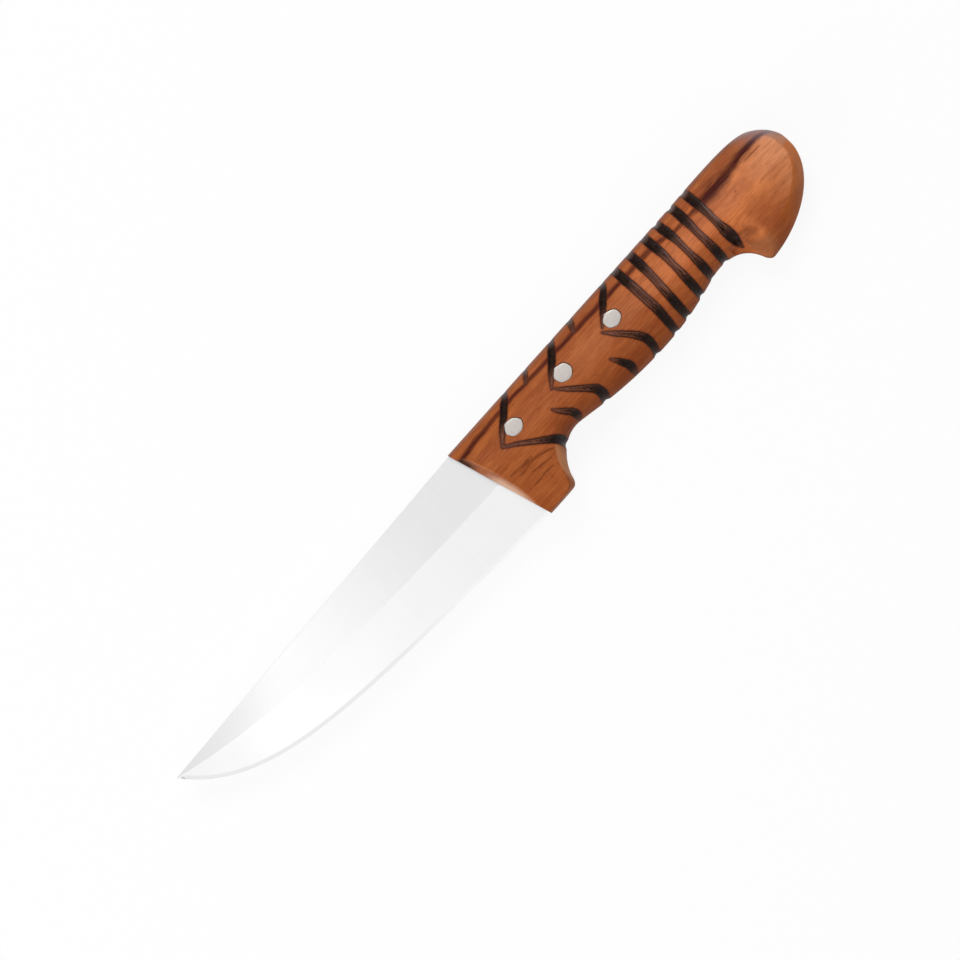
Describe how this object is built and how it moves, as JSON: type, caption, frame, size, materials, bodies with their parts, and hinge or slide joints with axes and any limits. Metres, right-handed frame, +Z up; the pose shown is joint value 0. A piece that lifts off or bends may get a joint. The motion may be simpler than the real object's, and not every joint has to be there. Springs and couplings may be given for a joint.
{
  "type": "butcher knife",
  "caption": "Butcher knife with a deep curved blade, a half tang flush with the spine, and a riveted wooden handle carved with burnt rings and arrows, a finger guard and a beaked butt.",
  "frame": {"origin": "centre of the knife's box in plan, on the surface that it lies on", "axes": "+X from the tip to the butt, +Y from the cutting edge to the spine, +Z up, square to the blade's flat"},
  "size_m": [0.2564, 0.0346, 0.018],
  "materials": {
    "blade_steel": "fine satin polish",
    "handle_wood": "stained and varnished, grooves burnt black",
    "rivet_metal": "ground flush, matt"
  },
  "bodies": {
    "root": {"blade": "blade_steel", "handle": "handle_wood", "front_rivet": "rivet_metal", "middle_rivet": "rivet_metal", "rear_rivet": "rivet_metal"}
  },
  "joints": []
}
